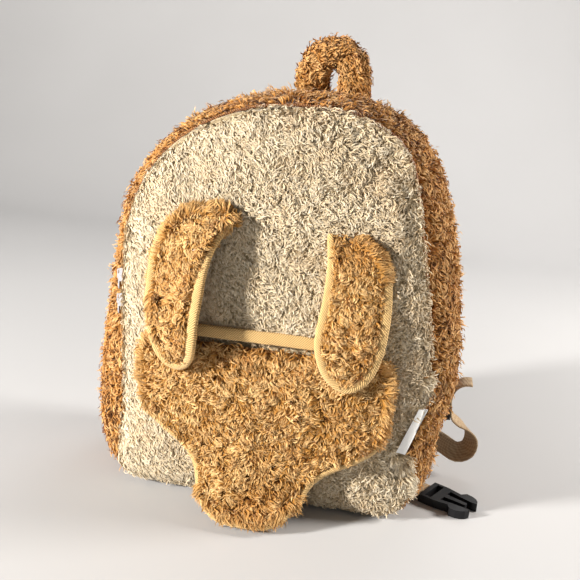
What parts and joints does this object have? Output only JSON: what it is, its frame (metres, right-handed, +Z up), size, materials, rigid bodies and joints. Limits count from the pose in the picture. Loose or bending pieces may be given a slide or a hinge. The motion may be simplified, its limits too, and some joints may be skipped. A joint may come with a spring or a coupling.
{
  "type": "kids animal backpack",
  "caption": "Small plush backpack for a child with a muzzle-shaped front flap, two floppy ears, a grab loop, a zip round the front and padded shoulder straps.",
  "frame": {"origin": "middle of the bag's flat base, on the floor", "axes": "+X to the right seen from the front, +Y to the back, +Z up"},
  "size_m": [0.31, 0.1935, 0.342],
  "materials": {
    "cream_plush": "short curly looped pile",
    "caramel_plush": "longer looped pile",
    "twill_binding": "fine diagonal twill tape",
    "plain_cloth": "plain woven cloth",
    "zip_tape": "smooth woven tape with a nylon coil",
    "zip_metal": "bright die-cast metal",
    "webbing": "flat woven webbing",
    "black_plastic": "satin moulded plastic",
    "label": "blank satin ribbon"
  },
  "bodies": {
    "bag": {"front_panel": "cream_plush", "gusset": "caramel_plush", "back_panel": "plain_cloth", "zip_tape": "zip_tape", "zip_coil": "zip_tape", "zip_slider_upper": "zip_metal", "zip_slider_lower": "zip_metal", "flap": "caramel_plush", "flap_mouth_binding": "twill_binding", "flap_hem_binding": "twill_binding", "ear_left": "caramel_plush", "ear_left_binding": "twill_binding", "ear_right": "caramel_plush", "ear_right_binding": "twill_binding", "handle": "caramel_plush", "shoulder_strap_left": "plain_cloth", "shoulder_strap_right": "plain_cloth", "ladder_lock_left": "black_plastic", "ladder_lock_right": "black_plastic", "strap_webbing_right": "webbing", "strap_webbing_left": "webbing", "waist_webbing_right": "webbing", "waist_webbing_left": "webbing", "buckle_male": "black_plastic", "buckle_female": "black_plastic", "label": "label"},
    "upper_pull": {"zip_pull_upper": "zip_metal"},
    "lower_pull": {"zip_pull_lower": "zip_metal"}
  },
  "joints": [
    {"name": "upper_pull_swing", "type": "hinge", "parent": "bag", "child": "upper_pull", "pos_m": [-0.11512, -0.05, 0.161], "axis": [0, 1, 0], "range_deg": [0, 150]},
    {"name": "lower_pull_swing", "type": "hinge", "parent": "bag", "child": "lower_pull", "pos_m": [-0.11508, -0.05, 0.14197], "axis": [0, 1, 0], "range_deg": [0, 150]}
  ]
}
